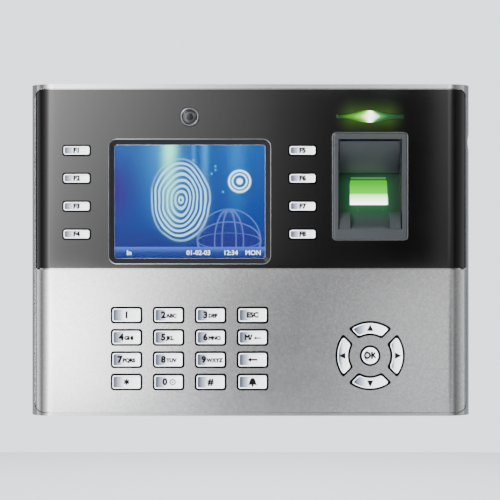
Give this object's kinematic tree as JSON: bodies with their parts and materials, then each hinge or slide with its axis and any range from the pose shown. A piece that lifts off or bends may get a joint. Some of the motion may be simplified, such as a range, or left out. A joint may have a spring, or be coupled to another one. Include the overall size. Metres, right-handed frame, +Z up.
{
  "type": "fingerprint scanner terminal",
  "caption": "Wall fingerprint terminal with colour screen, camera, function keys, keypad, arrow pad and lit finger bay, hung on a steel wall plate.",
  "frame": {"origin": "wall plane (rear face of the wall plate), at mid width and mid height of the case", "axes": "+X to the right seen from the front, +Y into the wall, +Z up; the front faces -Y"},
  "size_m": [0.205, 0.039, 0.154],
  "materials": {
    "silver_housing": "satin silver paint on plastic",
    "silver_panel": "fine-grained satin silver paint",
    "gloss_black": "high gloss",
    "rear_plastic": "fine spark texture",
    "bezel_black": "satin black",
    "screen_glass": "clear, gloss",
    "display_metal": "satin",
    "ring_metal": "turned, satin",
    "lens_glass": "dark, gloss",
    "indicator_green": "translucent, lit green",
    "slate_plastic": "satin slate grey",
    "sensor_glass": "lit green, gloss",
    "key_cap": "pearl white, gloss",
    "silicone": "matte",
    "circuit_board": "solder mask",
    "terminal_green": "satin",
    "socket_metal": "plated",
    "cover_rubber": "matte",
    "plate_steel": "zinc plated",
    "screw_steel": "zinc plated"
  },
  "bodies": {
    "root": {"camera_lens": "lens_glass", "camera_module": "rear_plastic", "camera_ring": "ring_metal", "case_screw_1": "screw_steel", "case_screw_2": "screw_steel", "case_screw_3": "screw_steel", "case_screw_4": "screw_steel", "front_housing": "silver_housing", "function_mat_left": "silicone", "function_mat_right": "silicone", "indicator_lens": "indicator_green", "key_board": "circuit_board", "keypad_mat": "silicone", "lcd_module": "display_metal", "lower_fascia": "silver_panel", "main_board": "circuit_board", "network_jack": "socket_metal", "plate_screw": "screw_steel", "power_jack": "rear_plastic", "rear_housing": "rear_plastic", "screen_bezel": "bezel_black", "screen_window": "screen_glass", "sensor_bay": "slate_plastic", "sensor_module": "rear_plastic", "sensor_window": "sensor_glass", "speaker": "rear_plastic", "terminal_block": "terminal_green", "upper_fascia": "gloss_black", "usb_socket": "socket_metal", "wall_plate": "plate_steel"},
    "key_0": {"key_0": "key_cap"},
    "key_1": {"key_1": "key_cap"},
    "key_2": {"key_2": "key_cap"},
    "key_3": {"key_3": "key_cap"},
    "key_4": {"key_4": "key_cap"},
    "key_5": {"key_5": "key_cap"},
    "key_6": {"key_6": "key_cap"},
    "key_7": {"key_7": "key_cap"},
    "key_8": {"key_8": "key_cap"},
    "key_9": {"key_9": "key_cap"},
    "key_back": {"key_back": "key_cap"},
    "key_bell": {"key_bell": "key_cap"},
    "key_esc": {"key_esc": "key_cap"},
    "key_f1": {"key_f1": "key_cap"},
    "key_f2": {"key_f2": "key_cap"},
    "key_f3": {"key_f3": "key_cap"},
    "key_f4": {"key_f4": "key_cap"},
    "key_f5": {"key_f5": "key_cap"},
    "key_f6": {"key_f6": "key_cap"},
    "key_f7": {"key_f7": "key_cap"},
    "key_f8": {"key_f8": "key_cap"},
    "key_hash": {"key_hash": "key_cap"},
    "key_menu": {"key_menu": "key_cap"},
    "key_ok": {"key_ok": "key_cap"},
    "key_star": {"key_star": "key_cap"},
    "nav_down": {"nav_down": "key_cap"},
    "nav_left": {"nav_left": "key_cap"},
    "nav_right": {"nav_right": "key_cap"},
    "nav_up": {"nav_up": "key_cap"},
    "usb_cover": {"usb_cover": "cover_rubber"}
  },
  "joints": [
    {"name": "key_0_press", "type": "slide", "parent": "root", "child": "key_0", "axis": [0, 1, 0], "range_m": [0, 0.0008], "stiffness_N_per_m": 1200},
    {"name": "key_1_press", "type": "slide", "parent": "root", "child": "key_1", "axis": [0, 1, 0], "range_m": [0, 0.0008], "stiffness_N_per_m": 1200},
    {"name": "key_2_press", "type": "slide", "parent": "root", "child": "key_2", "axis": [0, 1, 0], "range_m": [0, 0.0008], "stiffness_N_per_m": 1200},
    {"name": "key_3_press", "type": "slide", "parent": "root", "child": "key_3", "axis": [0, 1, 0], "range_m": [0, 0.0008], "stiffness_N_per_m": 1200},
    {"name": "key_4_press", "type": "slide", "parent": "root", "child": "key_4", "axis": [0, 1, 0], "range_m": [0, 0.0008], "stiffness_N_per_m": 1200},
    {"name": "key_5_press", "type": "slide", "parent": "root", "child": "key_5", "axis": [0, 1, 0], "range_m": [0, 0.0008], "stiffness_N_per_m": 1200},
    {"name": "key_6_press", "type": "slide", "parent": "root", "child": "key_6", "axis": [0, 1, 0], "range_m": [0, 0.0008], "stiffness_N_per_m": 1200},
    {"name": "key_7_press", "type": "slide", "parent": "root", "child": "key_7", "axis": [0, 1, 0], "range_m": [0, 0.0008], "stiffness_N_per_m": 1200},
    {"name": "key_8_press", "type": "slide", "parent": "root", "child": "key_8", "axis": [0, 1, 0], "range_m": [0, 0.0008], "stiffness_N_per_m": 1200},
    {"name": "key_9_press", "type": "slide", "parent": "root", "child": "key_9", "axis": [0, 1, 0], "range_m": [0, 0.0008], "stiffness_N_per_m": 1200},
    {"name": "key_back_press", "type": "slide", "parent": "root", "child": "key_back", "axis": [0, 1, 0], "range_m": [0, 0.0008], "stiffness_N_per_m": 1200},
    {"name": "key_bell_press", "type": "slide", "parent": "root", "child": "key_bell", "axis": [0, 1, 0], "range_m": [0, 0.0008], "stiffness_N_per_m": 1200},
    {"name": "key_esc_press", "type": "slide", "parent": "root", "child": "key_esc", "axis": [0, 1, 0], "range_m": [0, 0.0008], "stiffness_N_per_m": 1200},
    {"name": "key_f1_press", "type": "slide", "parent": "root", "child": "key_f1", "axis": [0, 1, 0], "range_m": [0, 0.0008], "stiffness_N_per_m": 1200},
    {"name": "key_f2_press", "type": "slide", "parent": "root", "child": "key_f2", "axis": [0, 1, 0], "range_m": [0, 0.0008], "stiffness_N_per_m": 1200},
    {"name": "key_f3_press", "type": "slide", "parent": "root", "child": "key_f3", "axis": [0, 1, 0], "range_m": [0, 0.0008], "stiffness_N_per_m": 1200},
    {"name": "key_f4_press", "type": "slide", "parent": "root", "child": "key_f4", "axis": [0, 1, 0], "range_m": [0, 0.0008], "stiffness_N_per_m": 1200},
    {"name": "key_f5_press", "type": "slide", "parent": "root", "child": "key_f5", "axis": [0, 1, 0], "range_m": [0, 0.0008], "stiffness_N_per_m": 1200},
    {"name": "key_f6_press", "type": "slide", "parent": "root", "child": "key_f6", "axis": [0, 1, 0], "range_m": [0, 0.0008], "stiffness_N_per_m": 1200},
    {"name": "key_f7_press", "type": "slide", "parent": "root", "child": "key_f7", "axis": [0, 1, 0], "range_m": [0, 0.0008], "stiffness_N_per_m": 1200},
    {"name": "key_f8_press", "type": "slide", "parent": "root", "child": "key_f8", "axis": [0, 1, 0], "range_m": [0, 0.0008], "stiffness_N_per_m": 1200},
    {"name": "key_hash_press", "type": "slide", "parent": "root", "child": "key_hash", "axis": [0, 1, 0], "range_m": [0, 0.0008], "stiffness_N_per_m": 1200},
    {"name": "key_menu_press", "type": "slide", "parent": "root", "child": "key_menu", "axis": [0, 1, 0], "range_m": [0, 0.0008], "stiffness_N_per_m": 1200},
    {"name": "key_ok_press", "type": "slide", "parent": "root", "child": "key_ok", "axis": [0, 1, 0], "range_m": [0, 0.0008], "stiffness_N_per_m": 1200},
    {"name": "key_star_press", "type": "slide", "parent": "root", "child": "key_star", "axis": [0, 1, 0], "range_m": [0, 0.0008], "stiffness_N_per_m": 1200},
    {"name": "nav_down_press", "type": "slide", "parent": "root", "child": "nav_down", "axis": [0, 1, 0], "range_m": [0, 0.0008], "stiffness_N_per_m": 1200},
    {"name": "nav_left_press", "type": "slide", "parent": "root", "child": "nav_left", "axis": [0, 1, 0], "range_m": [0, 0.0008], "stiffness_N_per_m": 1200},
    {"name": "nav_right_press", "type": "slide", "parent": "root", "child": "nav_right", "axis": [0, 1, 0], "range_m": [0, 0.0008], "stiffness_N_per_m": 1200},
    {"name": "nav_up_press", "type": "slide", "parent": "root", "child": "nav_up", "axis": [0, 1, 0], "range_m": [0, 0.0008], "stiffness_N_per_m": 1200},
    {"name": "usb_cover_hinge", "type": "hinge", "parent": "root", "child": "usb_cover", "pos_m": [0.102, -0.0048, 0.0385], "axis": [0, 0, 1], "range_deg": [0, 100]}
  ]
}
